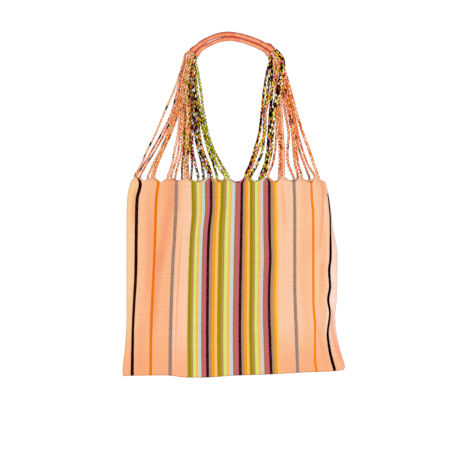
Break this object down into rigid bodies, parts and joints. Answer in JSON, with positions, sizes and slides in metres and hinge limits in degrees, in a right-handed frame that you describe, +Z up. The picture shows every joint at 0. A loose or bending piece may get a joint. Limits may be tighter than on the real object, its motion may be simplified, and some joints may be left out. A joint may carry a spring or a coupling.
{
  "type": "hammock bag",
  "caption": "Soft striped cloth shoulder bag with a scalloped open mouth, fanned braided cords and two wrapped handles, lying on its back.",
  "frame": {"origin": "on the surface, under the middle of the box that holds the pouch and the two handles", "axes": "+X across the bag to the right of its front, +Y from the pouch towards the handles, +Z up out of the front layer"},
  "size_m": [0.423, 0.658, 0.013],
  "materials": {
    "striped_cloth": "matte peach cotton with narrow woven stripes",
    "braided_cord": "matte flat three-strand cotton braids in mixed stripe colours",
    "wrapped_handle": "matte coral yarn wrapped closely round the bundled cords"
  },
  "bodies": {
    "root": {"pouch": "striped_cloth", "cord_front_01": "braided_cord", "cord_front_02": "braided_cord", "cord_back_01": "braided_cord", "cord_back_02": "braided_cord", "cord_front_03": "braided_cord", "cord_front_04": "braided_cord", "cord_front_05": "braided_cord", "cord_front_06": "braided_cord", "cord_back_03": "braided_cord", "cord_back_04": "braided_cord", "cord_front_07": "braided_cord", "cord_front_08": "braided_cord", "cord_back_05": "braided_cord", "cord_back_06": "braided_cord", "cord_back_07": "braided_cord", "cord_front_09": "braided_cord", "cord_front_10": "braided_cord", "cord_back_08": "braided_cord", "cord_front_11": "braided_cord", "cord_front_12": "braided_cord", "cord_front_13": "braided_cord", "cord_front_14": "braided_cord", "cord_back_09": "braided_cord", "cord_back_10": "braided_cord", "cord_back_11": "braided_cord", "cord_front_15": "braided_cord", "cord_front_16": "braided_cord", "cord_back_12": "braided_cord", "cord_front_17": "braided_cord", "cord_front_18": "braided_cord", "cord_back_13": "braided_cord", "cord_front_19": "braided_cord", "cord_front_20": "braided_cord", "cord_back_14": "braided_cord", "cord_front_21": "braided_cord", "cord_front_22": "braided_cord", "handle_outer": "wrapped_handle", "handle_inner": "wrapped_handle"}
  },
  "joints": []
}
